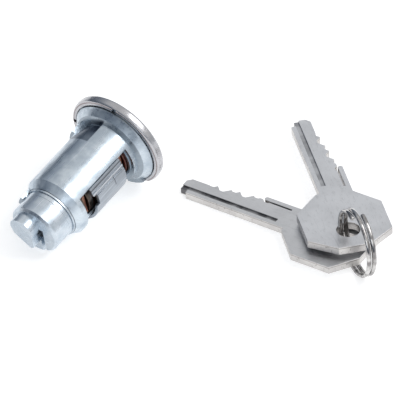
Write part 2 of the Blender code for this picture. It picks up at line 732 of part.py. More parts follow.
def key_outline():
    finger_top = BLADE_CUT_EDGE + FINGER_WIDTH
    finger_end = BOW_FRONT + FINGER_LENGTH
    slit_floor = BLADE_CUT_EDGE - FINGER_SLIT
    slit_root = BOW_FRONT + FINGER_SLIT_ROOT
    slope = (BOW_HALF - BOW_FRONT_HALF) / (BOW_FRONT - BOW_SIDE_FRONT)
    finger_meets_bow = BOW_FRONT - (finger_top - BOW_FRONT_HALF) / slope
    corner = FINGER_WIDTH / 3
    edge = cut_edge()
    upper = [(-BOW_BACK, BOW_BACK_HALF), (-BOW_SIDE_BACK, BOW_HALF), (BOW_SIDE_FRONT, BOW_HALF)]
    upper += [
        (finger_meets_bow, finger_top), (finger_end - corner, finger_top),
        (finger_end, finger_top - corner), (finger_end, BLADE_CUT_EDGE + corner),
        (finger_end - corner, BLADE_CUT_EDGE), (slit_root, BLADE_CUT_EDGE), (slit_root, slit_floor),
    ]
    shoulder = edge[1]
    upper.append((shoulder[0] - (slit_floor - shoulder[1]), slit_floor))
    upper += edge[1:]
    upper += [
        (KEY_TIP - TIP_CHAMFER, BLADE_CUT_EDGE - TIP_DROP),
        (KEY_TIP, BLADE_CUT_EDGE - TIP_DROP - TIP_CHAMFER),
        (KEY_TIP, -BLADE_BACK_EDGE + TIP_STEP),
        (KEY_TIP - TIP_STEP_LENGTH, -BLADE_BACK_EDGE + TIP_STEP),
        (KEY_TIP - TIP_STEP_LENGTH, -BLADE_BACK_EDGE),
    ]
    lower = [
        (BOW_FRONT, -BLADE_BACK_EDGE), (BOW_FRONT, -BOW_FRONT_HALF), (BOW_SIDE_FRONT, -BOW_HALF),
        (-BOW_SIDE_BACK, -BOW_HALF), (-BOW_BACK, -BOW_BACK_HALF),
    ]
    return [(x, -y) for x, y in upper + lower]


def make_key(name, mat, parent, parts, cutters):
    """The cut edge lies on the key's -y side."""
    hole = arc((0, 0), KEY_HOLE_RADIUS, 0, 360, TURN_POINTS)[:-1]
    mesh = outline_mesh(name, [key_outline(), hole], KEY_THICKNESS)
    key = add_object(name, mesh, parent, parts)
    start = BOW_FRONT + GROOVE_START
    for i, offset in enumerate(GROOVE_OFFSETS):
        face = KEY_THICKNESS / 2 * (1 if i == 0 else -1)
        length = KEY_TIP - start + FIT
        groove = box(
            f"{name}_groove_{i + 1}", (length, GROOVE_WIDTH, 2 * GROOVE_DEPTH),
            (start + length / 2, offset, face), key, cutters)
        cut(key, groove)
    return finish(key, mat)


def make_key_ring(mat, parent, parts):
    """Two turns of wire about the ring's own y axis, with both ends at the top."""
    points = coil_points(RING_RADIUS, RING_PITCH, RING_TURNS, TURN_POINTS, 90)
    report_gap("key_ring", points, TURN_POINTS, RING_WIRE)
    middle = RING_PITCH * RING_TURNS / 2
    placed = [(x, y - middle, z) for x, y, z in points]
    return finish(tube("key_ring", placed, RING_WIRE, 1, parent, parts), mat)


def place_keys(ring, key_1, key_2):
    """The ring stands on its edge; the keys hang on it, one over the other."""
    heading = math.radians(RING_HEADING)
    away = Vector((math.cos(heading), math.sin(heading), 0))
    centre = Vector((*RING_PLACE, RING_RADIUS + RING_WIRE / 2))
    ring.matrix_basis = Matrix.Translation(centre) @ Matrix.Rotation(heading, 4, "Z")

    half = KEY_THICKNESS / 2
    tilt = math.degrees(math.asin(KEY_1_LIFT / KEY_TIP))
    aside = away.cross(Vector((0, 0, 1)))
    place = centre + away * KEY_1_HOLE_FROM_RING + aside * KEY_1_HOLE_ASIDE
    place.z = KEY_1_LIFT + half
    key_1.matrix_basis = key_matrix(KEY_1_HEADING, tilt, place)

    between = math.radians(KEY_1_HEADING - KEY_2_HEADING)
    slope = math.tan(math.radians(KEY_2_TILT)) - math.tan(math.radians(tilt)) * math.cos(between)
    rise = KEY_THICKNESS + FIT + BOW_FRONT * slope
    other = centre + away * KEY_2_HOLE_FROM_RING + aside * KEY_2_HOLE_ASIDE
    other.z = place.z + rise
    key_2.matrix_basis = key_matrix(KEY_2_HEADING, KEY_2_TILT, other)


def centre_on_floor(set_frame, pieces):
    """Moves the set so that its box stands on z = 0 with its middle over the origin."""
    bpy.context.view_layer.update()
    graph = bpy.context.evaluated_depsgraph_get()
    low = Vector((math.inf, math.inf, math.inf))
    high = -low
    for piece in pieces:
        shape = piece.evaluated_get(graph)
        mesh = shape.to_mesh()
        for vertex in mesh.vertices:
            spot = piece.matrix_world @ vertex.co
            low = Vector(map(min, low, spot))
            high = Vector(map(max, high, spot))
        shape.to_mesh_clear()
    set_frame.location = (-(low.x + high.x) / 2, -(low.y + high.y) / 2, -low.z)
    bpy.context.view_layer.update()
    print("size in mm:", [round(1000 * v, 3) for v in high - low])


def main():
    clear_scene()
    parts = new_collection("lock_cylinder_with_keys")
    cutters = new_collection("cutters")
    zinc = metal("bright_zinc", (0.62, 0.68, 0.74), 0.32)
    core_zinc = metal("core_zinc", (0.58, 0.62, 0.66), 0.38)
    stainless = metal("stainless_cap", (0.55, 0.53, 0.53), 0.22)
    strip_steel = metal("brushed_strip", (0.50, 0.52, 0.55), 0.42)
    brass = metal("wafer_brass", (0.55, 0.34, 0.18), 0.35)
    spring_steel = metal("spring_steel", (0.50, 0.50, 0.52), 0.30)
    nickel = metal("key_nickel", (0.64, 0.63, 0.62), 0.28)
    ring_steel = metal("ring_steel", (0.70, 0.69, 0.68), 0.12)

    set_frame = empty("set_frame", None, parts)
    lock = empty("lock_frame", set_frame, parts)
    lock.matrix_basis = lock_matrix()
    pieces = [
        make_housing(zinc, lock, parts, cutters),
        make_face_cap(stainless, lock, parts, cutters),
        make_cover_strip(strip_steel, lock, parts, cutters),
        make_plug(core_zinc, lock, parts, cutters),
        make_stop_ring(zinc, lock, parts, cutters),
        make_drive_tail(zinc, lock, parts, cutters),
        make_tail_pin(spring_steel, lock, parts),
    ]
    for i in range(WAFER_COUNT):
        pieces.append(make_wafer(i, brass, lock, parts))
        pieces.append(make_wafer_spring(i, spring_steel, lock, parts))

    ring = make_key_ring(ring_steel, set_frame, parts)
    key_1 = make_key("key_1", nickel, set_frame, parts, cutters)
    key_2 = make_key("key_2", nickel, set_frame, parts, cutters)
    place_keys(ring, key_1, key_2)
    pieces += [ring, key_1, key_2]
    centre_on_floor(set_frame, pieces)


main()
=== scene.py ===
"""Looks for the wafer lock cylinder and its keys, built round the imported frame.

Metres and radians, +Z up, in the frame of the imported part. A node's object sits at the origin, so a
material's object coordinates are places in that frame. Materials turn them into the frame of the
lock or of a key, so that grain and wear follow the piece.

In the values below, a dictionary with a scale sets a noise. A name that ends in SPAN holds the range
that a value is read from and, where they follow, the two numbers that it is mapped to. A BUMP holds
a strength and a distance. A mark, such as a line or a notch, holds its middle, half its width and
half the width of its fade.
"""
import json
import math

import bmesh
import bpy
from mathutils import Matrix, Vector

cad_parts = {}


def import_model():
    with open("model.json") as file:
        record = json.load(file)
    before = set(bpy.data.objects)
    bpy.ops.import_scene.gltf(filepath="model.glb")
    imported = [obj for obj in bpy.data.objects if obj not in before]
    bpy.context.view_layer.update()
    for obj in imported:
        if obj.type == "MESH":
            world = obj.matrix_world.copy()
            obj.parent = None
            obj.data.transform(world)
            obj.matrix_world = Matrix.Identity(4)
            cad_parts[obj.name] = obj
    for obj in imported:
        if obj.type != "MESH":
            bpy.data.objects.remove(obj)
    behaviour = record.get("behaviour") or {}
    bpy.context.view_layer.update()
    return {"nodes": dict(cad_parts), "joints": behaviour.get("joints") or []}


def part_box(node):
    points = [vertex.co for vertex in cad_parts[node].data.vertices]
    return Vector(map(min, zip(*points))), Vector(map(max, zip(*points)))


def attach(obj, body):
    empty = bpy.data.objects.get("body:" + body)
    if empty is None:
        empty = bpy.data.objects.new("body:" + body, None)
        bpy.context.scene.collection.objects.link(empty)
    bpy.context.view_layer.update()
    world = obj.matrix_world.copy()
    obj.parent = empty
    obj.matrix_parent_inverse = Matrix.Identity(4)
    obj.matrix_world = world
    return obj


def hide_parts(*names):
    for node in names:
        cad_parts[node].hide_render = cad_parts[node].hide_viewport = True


# Camera, at the photograph's angle; its long lens gives as little perspective as the photograph has
CAMERA_ELEVATION = math.radians(41.5)
CAMERA_LENS = 1200.0
SENSOR_WIDTH = 36.0
CAMERA_DISTANCE = 3.419
CAMERA_TARGET = (-0.00039, 0.00192, 0.00217)

# Studio
BRIGHT_SIDE = (0.42, 0.0, 0.91)
SKY_STRENGTH = 0.78
SKY_STOPS = (
    (0.00, (0.16, 0.19, 0.24, 1.0)),
    (0.30, (0.42, 0.47, 0.54, 1.0)),
    (0.66, (1.00, 1.00, 1.00, 1.0)),
)
FLOOR_HALF = 3.0
FLOOR_DROP = 0.00002
FLOOR_COLOUR = (0.72, 0.72, 0.72, 1.0)
FLOOR_GLOW_COLOUR = (1.0, 1.0, 1.0, 1.0)
FLOOR_GLOW = 0.56
FLOOR_ROUGHNESS = 0.9
FLOOR_SPECULAR = 0.1

# Lights, aimed at the origin: name, place, size, power and colour
LIGHTS = (
    ("key_light", (0.31, -0.01, 0.46), (0.30, 0.30), 0.90, (1.00, 1.00, 1.00)),
    ("front_light", (0.05, -0.50, 0.30), (0.40, 0.20), 0.35, (0.95, 0.98, 1.00)),
)

# The zincs' tones, least and most roughness, and how much painted shade darkens their end faces
BARREL_ZINC = {
    "light": (0.63, 0.70, 0.76), "dark": (0.47, 0.54, 0.61), "roughness": (0.24, 0.46), "painted_end_shade": 0.90,
}
# A lighter copy for the stop ring, the drive tail and the shims: painted light, with less painted shade
# on its end faces
LIT_ZINC = {
    "light": (0.66, 0.72, 0.78), "dark": (0.52, 0.59, 0.66), "roughness": (0.22, 0.44), "painted_end_shade": 0.30,
}
# A darker copy for the plug: painted shade, as the plug lies inside the barrel
SHADED_CORE_ZINC = {
    "light": (0.36, 0.35, 0.34), "dark": (0.18, 0.17, 0.17), "roughness": (0.30, 0.48), "painted_end_shade": 0.50,
}
ZINC_CLOUD = {"scale": 320.0, "detail": 6.0}
ZINC_CLOUD_SPAN = (0.35, 0.68)
ZINC_MARKS = {"scale": 900.0, "stretch": (1, 1, 0.12)}
ZINC_MARK_SPAN = (0.60, 0.74, 0.0, 0.20)
ZINC_PITS = {"scale": 5200.0, "detail": 2.0}
ZINC_PIT_SPAN = (0.68, 0.76, 0.0, 0.5)
ZINC_PIT_SHADE = 0.45
ZINC_PIT_HEIGHT = 0.5
# Painted shade on the end faces: the lean that it fades in over, and how dark it makes the dark tone
ZINC_END_SPAN = (0.55, 0.95)
ZINC_END_SHADE = 0.62
ZINC_FINISH_SPAN = (0.30, 0.75)
ZINC_BUMP = (0.34, 0.00006)

# The barrel's notch in shade: round the axis from the wafers' side, along it, and its depth of shade
NOTCH_AROUND = (math.radians(115.8), math.radians(26.2), math.radians(0.8))
NOTCH_ALONG = (0.00715, 0.00325, 0.0002)
NOTCH_DEPTH_SPAN = (0.0039, 0.0095, 0.97, 0.66)
NOTCH_TONE = (0.03, 0.05, 0.09)

# Tints on the plug under the barrel's two openings, reddish-brown and dark brown: mark along the axis,
# share and tone
OPENING_TINTS = (
    ((0.0070, 0.0020, 0.0004), 0.85, (0.24, 0.09, 0.07)),
    ((0.0226, 0.0020, 0.0004), 0.75, (0.10, 0.07, 0.05)),
)

# Strip in the barrel's window
STRIP_DARK = (0.33, 0.36, 0.40)
STRIP_LIGHT = (0.48, 0.52, 0.57)
STRIP_LINES = {"scale": 2600.0, "detail": 3.0, "stretch": (1, 1, 0.03)}
STRIP_LINE_SPAN = (0.35, 0.70)
STRIP_LINE_HEIGHT = 0.5
STRIP_CLOUD = {"scale": 240.0}
STRIP_CLOUD_SPAN = (0.50, 0.72, 0.0, 0.5)
STRIP_CLOUD_TONE = (0.36, 0.39, 0.43)
# Painted shade along a rib: angle round the axis, half width and fade
STRIP_RIB_SHADE = (math.radians(25.7), 0.020, 0.008)
# A painted highlight along a step: angle round the axis, half width and fade
STRIP_STEP_HIGHLIGHT = (math.radians(17.5), 0.014, 0.006)
STRIP_STEP_HIGHLIGHT_SHARE = 0.8
STRIP_STEP_HIGHLIGHT_TONE = (0.86, 0.88, 0.92)
STRIP_SCORE_AROUND = (math.radians(7.0), math.radians(10.0), 0.02)
STRIP_SCORE_ALONG = (0.0127, 0.00013, 0.00005)
# Share and tone of the rib's painted shade and of the dark scored line
STRIP_RIB_SHADE_AND_SCORE_SHARE = 0.85
STRIP_RIB_SHADE_AND_SCORE_TONE = (0.12, 0.13, 0.15)
STRIP_FINISH_SPAN = (0.30, 0.70, 0.34, 0.50)
STRIP_BUMP = (0.35, 0.00008)

# Cap
CAP_DARK = (0.46, 0.46, 0.48)
CAP_LIGHT = (0.53, 0.53, 0.55)
CAP_CLOUD = {"scale": 220.0}
CAP_CLOUD_SPAN = (0.35, 0.68)
CAP_LINE = (0.01325, 0.00014, 0.00006)
CAP_LINE_SHARE = 0.8
CAP_LINE_TONE = (0.20, 0.15, 0.15)
CAP_SCUFFS = {"scale": 1500.0, "detail": 6.0, "stretch": (0.25, 1, 1)}
CAP_SCUFF_SPAN = (0.62, 0.78, 0.0, 0.25)
CAP_SCUFF_TONE = (0.24, 0.22, 0.23)
CAP_FINISH_SPAN = (0.35, 0.75, 0.20, 0.34)
CAP_BUMP = (0.15, 0.00005)

# Wafers
WAFER_COUNT = 6
BRASS_DARK = (0.20, 0.08, 0.06)
BRASS_LIGHT = (0.42, 0.22, 0.15)
BRASS_CLOUD = {"scale": 500.0}
BRASS_CLOUD_SPAN = (0.38, 0.66)
BRASS_GRAIN = {"scale": 4000.0}
BRASS_GRAIN_SPAN = (0.60, 0.75, 0.0, 0.5)
BRASS_GRAIN_TONE = (0.08, 0.04, 0.03)
BRASS_FINISH_SPAN = (0.30, 0.70, 0.28, 0.46)
BRASS_BUMP = (0.2, 0.00004)

# Wires
SPRING_STEEL = {
    "light": (0.62, 0.62, 0.63), "dark": (0.44, 0.44, 0.46), "roughness": (0.16, 0.32),
}
# The ring's dark tone is painted dark reflection, laid on by the wire's cloudy patches
RING_STEEL = {
    "light": (0.66, 0.65, 0.64), "dark": (0.24, 0.23, 0.23), "roughness": (0.05, 0.12),
}
WIRE_CLOUD = {"scale": 420.0}
WIRE_CLOUD_SPAN = (0.34, 0.68)
WIRE_GRAIN = {"scale": 3600.0, "detail": 2.0}
WIRE_GRAIN_SPAN = (0.66, 0.78, 0.0, 0.35)
WIRE_GRAIN_SHADE = 0.4
WIRE_FINISH_SPAN = (0.30, 0.75)
WIRE_BUMP = (0.10, 0.00003)

# Keys, as the part's source has them
KEY_HEADINGS = {"key_1": math.radians(148.7), "key_2": math.radians(104.0)}
KEY_THICKNESS = 0.0022
KEY_BOW_FRONT = 0.0163
KEY_GROOVE_PLACE = 0.0016
KEY_GROOVE_WIDTH = 0.0012
KEY_GROOVE_DEPTH = 0.0005
KEY_SLIT_PLACE = -0.00365
KEY_SLIT_WIDTH = 0.0005
KEY_SLIT_ROOT = 0.0180

# Plate, wear, dirt and painted shade on the keys
# Key_1, which lies under key_2, is a darker copy of the same plate: painted shade
KEY_BRIGHTNESS = {"key_1": 0.87, "key_2": 1.0}
KEY_DARK = (0.80, 0.80, 0.81)
KEY_LIGHT = (0.88, 0.88, 0.89)
KEY_CLOUD = {"scale": 120.0}
KEY_CLOUD_SPAN = (0.36, 0.66)
KEY_SCRATCHES = {"scale": 1700.0, "detail": 2.0, "stretch": (0.05, 1, 1)}
KEY_SCRATCH_SPAN = (0.64, 0.76, 0.0, 0.35)
KEY_SCRATCH_TONE = (0.50, 0.50, 0.51)
KEY_GRAIN = {"scale": 4200.0, "detail": 3.0}
KEY_GRAIN_SPAN = (0.64, 0.78, 0.0, 0.25)
KEY_GRAIN_TONE = (0.55, 0.55, 0.56)
KEY_WEAR = {"scale": 1500.0, "detail": 6.0, "roughness": 0.75, "stretch": (0.35, 1, 1)}
KEY_WEAR_SPAN = (0.50, 0.72, 0.0, 0.40)
KEY_WEAR_TONE = (0.50, 0.50, 0.50)
KEY_RIM_SPAN = (0.25, 0.60, 0.85, 0.0)
KEY_RIM_CLOUD_SPAN = (0.35, 0.65)
KEY_RIM_DARK = (0.50, 0.48, 0.47)
KEY_RIM_LIGHT = (0.62, 0.60, 0.58)
KEY_NICKS = {"scale": 2000.0, "detail": 3.0, "stretch": (1, 1, 0.6)}
KEY_NICK_SPAN = (0.58, 0.70, 0.0, 0.60)
# A painted shade line along the top of a key's side walls: height above the key's middle, half width and
# fade
KEY_EDGE_SHADE_LINE = (0.00072, 0.00010, 0.00006)
KEY_EDGE_SHADE_LINE_SHARE = 0.7
KEY_NICK_AND_EDGE_SHADE_TONE = (0.16, 0.15, 0.14)
# Painted shade and dirt in the milled cuts: how strong on each key, its patches, span, least share and
# tone
KEY_CUT_SHADE_AND_DIRT = {"key_1": 0.85, "key_2": 0.50}
KEY_CUT_SHADE_AND_DIRT_PATCHES = {"scale": 240.0, "detail": 2.0, "stretch": (1, 0.1, 0.1)}
KEY_CUT_SHADE_AND_DIRT_SPAN = (0.40, 0.58)
KEY_CUT_SHADE_AND_DIRT_LEAST = 0.45
KEY_CUT_SHADE_AND_DIRT_TONE = (0.07, 0.07, 0.08)
KEY_FINISH_SPAN = (0.30, 0.72, 0.30, 0.44)
KEY_BUMP = (0.14, 0.00005)

# Where the painted shade and dirt lie, with their fade: how far below the key's faces, as shares of the
# groove's depth, and how far to both sides of the groove's and the slit's middle, as shares of their
# widths
SHADE_AND_DIRT_DEPTH, SHADE_AND_DIRT_DEPTH_FADE = 0.5, 0.25
GROOVE_SHADE_AND_DIRT, GROOVE_SHADE_AND_DIRT_FADE = 0.6, 0.06
SLIT_SHADE_AND_DIRT, SLIT_SHADE_AND_DIRT_FADE = 0.7, 0.1

# Split ring
RING_HEADING = math.radians(112.1)
RING_TURNS = 2
RING_WIRE = 0.0010
RING_PITCH = 0.00145
RING_LEAD = math.radians(90.0)
RING_FLATNESS = 1.25

# Springs under the wafers' ears
SPRING_TURNS = 3
SPRING_WIRE = 0.0003
SPRING_PITCH = 0.0008
SPRING_RADIUS = 0.00065
SPRING_LEAD = 0.0

# Points to a turn and round the wire, rings in a coil's rounded end, and the part of a step that is
# left flat at its tip
RING_FINENESS = (96, 20)
SPRING_FINENESS = (36, 10)
END_RINGS = 4
END_FLAT = 0.5

# Open shims in the gaps before and behind the stop ring; they leave the stop's path free.
# Each has the radius of its bore and its own, then its front and back stations
SHIMS = ((0.00714, 0.00755, 0.02846, 0.02898), (0.00520, 0.00715, 0.03032, 0.03058))
SHIM_ANGLES = (math.radians(257.0), math.radians(499.0))
SHIM_STEPS = 80

# Rounded edges on the CAD nodes
EDGE_ROUNDS = {
    "housing": 0.00012, "face_cap": 0.00008, "cover_strip": 0.00010, "plug": 0.00008,
    "stop_ring": 0.00012, "drive_tail": 0.00015, "tail_pin": 0.00010,
    "key_1": 0.00016, "key_2": 0.00016,
}
WAFER_ROUND = 0.00006
EDGE_SEGMENTS = 2
EDGE_ANGLE = math.radians(25.0)
FLAT_ANGLE = math.radians(0.5)
WELD_DISTANCE = 1e-6
NORMAL_WEIGHT = 50

# A Mix node's colour sockets, whose names its other sockets share
MIX_COLOURS = (6, 7)
MIX_RESULT = 2


def unit(vector):
    return Vector(vector).normalized()


def shaded(colour, share):
    return [share * c for c in colour]


def joint(frame, name):
    return next(j for j in frame["joints"] if j["name"] == name)


def lock_frame(frame):
    """The lock's frame: x to the wafers' side, z along the axis to the tail."""
    turn = joint(frame, "plug_turn")
    tail = -unit(turn["axis"])
    side = -unit(joint(frame, "wafer_1_slide")["axis"])
    side = (side - tail * side.dot(tail)).normalized()
    basis = Matrix((side, tail.cross(side), tail)).transposed().to_4x4()
    return Matrix.Translation(turn["pos_m"]) @ basis


def key_frame(frame, name):
    """A key's frame: origin in its hole, x to the tip, y away from the cuts, z up."""
    swing = joint(frame, f"{name}_swing")
    up = unit(swing["axis"])
    heading = KEY_HEADINGS[name]
    along = Vector((math.cos(heading), math.sin(heading), 0))
    along = (along - up * along.dot(up)).normalized()
    basis = Matrix((along, up.cross(along), up)).transposed().to_4x4()
    return Matrix.Translation(swing["pos_m"]) @ basis


class Shader:
    """A metal's node tree, with short calls for the nodes that the metals share.

    The place is the frame of the piece, and the calls work in it.
    """

    def __init__(self, name, place):
        self.material = bpy.data.materials.new(name)
        self.material.use_nodes = True
        self.tree = self.material.node_tree
        self.surface = self.tree.nodes["Principled BSDF"]
        self.surface.inputs["Metallic"].default_value = 1.0
        coordinates = self.node("ShaderNodeTexCoord")
        mapping = self.node("ShaderNodeMapping")
        mapping.vector_type = "TEXTURE"
        mapping.inputs["Location"].default_value = place.to_translation()
        mapping.inputs["Rotation"].default_value = place.to_euler()
        self.link(coordinates.outputs["Object"], mapping.inputs["Vector"])
        self.place = mapping.outputs["Vector"]
        self.normal = coordinates.outputs["Normal"]
        self.up = place.to_3x3().col[2].copy()

    def node(self, kind, **settings):
        made = self.tree.nodes.new(kind)
        for key, value in settings.items():
            setattr(made, key, value)
        return made

    def link(self, source, target):
        self.tree.links.new(source, target)

    def feed(self, target, value):
        """Puts a number on a socket, or links another socket to it."""
        if isinstance(value, bpy.types.NodeSocket):
            self.link(value, target)
        else:
            target.default_value = value

    def noise(self, scale, detail=4.0, roughness=0.55, stretch=(1, 1, 1)):
        """Noise from 0 to 1; stretch multiplies the place first, so a small number draws lines."""
        scaled = self.node("ShaderNodeMapping")
        scaled.inputs["Scale"].default_value = stretch
        self.link(self.place, scaled.inputs["Vector"])
        made = self.node("ShaderNodeTexNoise")
        made.inputs["Scale"].default_value = scale
        made.inputs["Detail"].default_value = detail
        made.inputs["Roughness"].default_value = roughness
        self.link(scaled.outputs["Vector"], made.inputs["Vector"])
        return made.outputs["Fac"]

    def span(self, value, low, high, to_low=0.0, to_high=1.0):
        """Maps a range of a value to another range, with a smooth step and held ends."""
        made = self.node("ShaderNodeMapRange", interpolation_type="SMOOTHSTEP")
        self.feed(made.inputs["Value"], value)
        made.inputs["From Min"].default_value = low
        made.inputs["From Max"].default_value = high
        made.inputs["To Min"].default_value = to_low
        made.inputs["To Max"].default_value = to_high
        return made.outputs["Result"]

    def maths(self, operation, first, second=0.0):
        made = self.node("ShaderNodeMath", operation=operation)
        self.feed(made.inputs[0], first)
        self.feed(made.inputs[1], second)
        return made.outputs[0]

    def times(self, first, second):
        return self.maths("MULTIPLY", first, second)

    def axes(self):
        made = self.node("ShaderNodeSeparateXYZ")
        self.link(self.place, made.inputs["Vector"])
        return made.outputs["X"], made.outputs["Y"], made.outputs["Z"]

    def round_the_axis(self):
        """The angle about the z axis, and the station along it."""
        x, y, z = self.axes()
        return self.maths("ARCTAN2", y, x), z

    def from_the_axis(self):
        """The distance from the z axis."""
        x, y, _ = self.axes()
        return self.maths("SQRT", self.maths("ADD", self.times(x, x), self.times(y, y)))

    def lean(self):
        """How a face lies to the z axis: 1 square across it, 0 along it."""
        facing = self.node("ShaderNodeVectorMath", operation="DOT_PRODUCT")
        self.link(self.normal, facing.inputs[0])
        facing.inputs[1].default_value = self.up
        return self.maths("ABSOLUTE", facing.outputs["Value"])

    def within(self, value, centre, half, edge):
        """1 where a value lies within half of a centre, with a fade that reaches edge to both sides."""
        away = self.maths("ABSOLUTE", self.maths("SUBTRACT", value, centre))
        return self.span(away, half - edge, half + edge, 1.0, 0.0)

    def blend(self, share, first, second):
        """A colour between two, which are colours or colour sockets."""
        made = self.node("ShaderNodeMix", data_type="RGBA")
        self.feed(made.inputs["Factor"], share)
        for socket, value in zip(MIX_COLOURS, (first, second)):
            linked = isinstance(value, bpy.types.NodeSocket)
            self.feed(made.inputs[socket], value if linked else (*value, 1.0))
        return made.outputs[MIX_RESULT]

    def tint(self, tone, mask, share, colour):
        """A tone with a share of a colour in it where a mask is 1."""
        return self.blend(self.times(mask, share), tone, colour)

    def bump(self, height, strength, distance):
        made = self.node("ShaderNodeBump")
        made.inputs["Strength"].default_value = strength
        made.inputs["Distance"].default_value = distance
        self.link(height, made.inputs["Height"])
        self.link(made.outputs["Normal"], self.surface.inputs["Normal"])

    def paint(self, colour, roughness):
        self.link(colour, self.surface.inputs["Base Color"])
        self.link(roughness, self.surface.inputs["Roughness"])
        return self.material


def plated_zinc(name, place, light, dark, roughness, painted_end_shade, notched=False, tinted_at_openings=False):
    """Plate on a casting: cloudy tint, fine pits, faint marks along the axis and painted shade on the
    end faces.

    The barrel has its notch in shade, and the plug is tinted darker under the barrel's openings.
    """
    shader = Shader(name, place)
    cloud = shader.noise(**ZINC_CLOUD)
    marks = shader.noise(**ZINC_MARKS)
    pits = shader.noise(**ZINC_PITS)
    tone = shader.blend(shader.span(cloud, *ZINC_CLOUD_SPAN), dark, light)
    tone = shader.blend(shader.span(marks, *ZINC_MARK_SPAN), tone, dark)
    tone = shader.blend(shader.span(pits, *ZINC_PIT_SPAN), tone, shaded(dark, ZINC_PIT_SHADE))
    # Painted shade: faces that lie across the lock's axis are darkened
    ends = shader.span(shader.lean(), *ZINC_END_SPAN, 0.0, painted_end_shade)
    tone = shader.blend(ends, tone, shaded(dark, ZINC_END_SHADE))
    if notched:
        around, along = shader.round_the_axis()
        outline = shader.times(shader.within(around, *NOTCH_AROUND), shader.within(along, *NOTCH_ALONG))
        depth = shader.span(along, *NOTCH_DEPTH_SPAN)
        tone = shader.tint(tone, outline, depth, NOTCH_TONE)
    if tinted_at_openings:
        _, _, along = shader.axes()
        for mark, share, colour in OPENING_TINTS:
            tone = shader.tint(tone, shader.within(along, *mark), share, colour)
    height = shader.maths("ADD", shader.times(pits, ZINC_PIT_HEIGHT), marks)
    shader.bump(height, *ZINC_BUMP)
    return shader.paint(tone, shader.span(marks, *ZINC_FINISH_SPAN, *roughness))


def brushed_steel(name, place):
    """A matt strip, brushed along the lock's axis, with painted shade along a rib, a painted highlight
    along a step and a scored line across it.
    """
    shader = Shader(name, place)
    around, along = shader.round_the_axis()
    lines = shader.noise(**STRIP_LINES)
    cloud = shader.noise(**STRIP_CLOUD)
    tone = shader.blend(shader.span(lines, *STRIP_LINE_SPAN), STRIP_DARK, STRIP_LIGHT)
    tone = shader.blend(shader.span(cloud, *STRIP_CLOUD_SPAN), tone, STRIP_CLOUD_TONE)
    step = shader.within(around, *STRIP_STEP_HIGHLIGHT)
    rib = shader.within(around, *STRIP_RIB_SHADE)
    score = shader.times(
        shader.within(around, *STRIP_SCORE_AROUND), shader.within(along, *STRIP_SCORE_ALONG))
    # Painted highlight along the step
    tone = shader.tint(tone, step, STRIP_STEP_HIGHLIGHT_SHARE, STRIP_STEP_HIGHLIGHT_TONE)
    # The rib's line is painted shade and the scored line a dark mark; both are sunk in the bump
    for sunk in (rib, score):
        tone = shader.tint(tone, sunk, STRIP_RIB_SHADE_AND_SCORE_SHARE, STRIP_RIB_SHADE_AND_SCORE_TONE)
    height = shader.maths(
        "SUBTRACT", shader.times(lines, STRIP_LINE_HEIGHT), shader.maths("ADD", rib, score))
    shader.bump(height, *STRIP_BUMP)
    return shader.paint(tone, shader.span(cloud, *STRIP_FINISH_SPAN))


def pressed_stainless(name, place):
    """Polished sheet with fine scuffs and a dark line round its lip."""
    shader = Shader(name, place)
    cloud = shader.noise(**CAP_CLOUD)
    scuffs = shader.noise(**CAP_SCUFFS)
    line = shader.within(shader.from_the_axis(), *CAP_LINE)
    tone = shader.blend(shader.span(cloud, *CAP_CLOUD_SPAN), CAP_DARK, CAP_LIGHT)
    tone = shader.tint(tone, line, CAP_LINE_SHARE, CAP_LINE_TONE)
    tone = shader.blend(shader.span(scuffs, *CAP_SCUFF_SPAN), tone, CAP_SCUFF_TONE)
    shader.bump(scuffs, *CAP_BUMP)
    return shader.paint(tone, shader.span(scuffs, *CAP_FINISH_SPAN))


def stamped_brass(name, place):
    """Tarnished brass with reddish blotches."""
    shader = Shader(name, place)
    cloud = shader.noise(**BRASS_CLOUD)
    grain = shader.noise(**BRASS_GRAIN)
    tone = shader.blend(shader.span(cloud, *BRASS_CLOUD_SPAN), BRASS_DARK, BRASS_LIGHT)
    tone = shader.blend(shader.span(grain, *BRASS_GRAIN_SPAN), tone, BRASS_GRAIN_TONE)
    shader.bump(grain, *BRASS_BUMP)
    return shader.paint(tone, shader.span(grain, *BRASS_FINISH_SPAN))


def drawn_wire(name, place, light, dark, roughness):
    """Wire with a faint drawn grain and cloudy patches; on the ring, these are painted dark reflections.
    """
    shader = Shader(name, place)
    cloud = shader.noise(**WIRE_CLOUD)
    grain = shader.noise(**WIRE_GRAIN)
    tone = shader.blend(shader.span(cloud, *WIRE_CLOUD_SPAN), dark, light)
    tone = shader.blend(shader.span(grain, *WIRE_GRAIN_SPAN), tone, shaded(dark, WIRE_GRAIN_SHADE))
    shader.bump(grain, *WIRE_BUMP)
    return shader.paint(tone, shader.span(grain, *WIRE_FINISH_SPAN, *roughness))


def milled_cuts(shader, along, across, up):
    """1 in a key's groove and beside its finger, below the faces of the key."""
    deep = shader.within(
        up, 0.0, KEY_THICKNESS / 2 - KEY_GROOVE_DEPTH * SHADE_AND_DIRT_DEPTH, KEY_GROOVE_DEPTH * SHADE_AND_DIRT_DEPTH_FADE)
    groove = shader.within(
        across, KEY_GROOVE_PLACE, KEY_GROOVE_WIDTH * GROOVE_SHADE_AND_DIRT, KEY_GROOVE_WIDTH * GROOVE_SHADE_AND_DIRT_FADE)
    blade = shader.span(along, KEY_BOW_FRONT, KEY_BOW_FRONT + KEY_GROOVE_WIDTH)
    slit = shader.within(
        across, KEY_SLIT_PLACE, KEY_SLIT_WIDTH * SLIT_SHADE_AND_DIRT, KEY_SLIT_WIDTH * SLIT_SHADE_AND_DIRT_FADE)
    finger = shader.span(along, KEY_SLIT_ROOT - KEY_SLIT_WIDTH, KEY_SLIT_ROOT)
    cuts = shader.maths("MAXIMUM", shader.times(groove, blade), shader.times(slit, finger))
    return shader.times(deep, cuts)


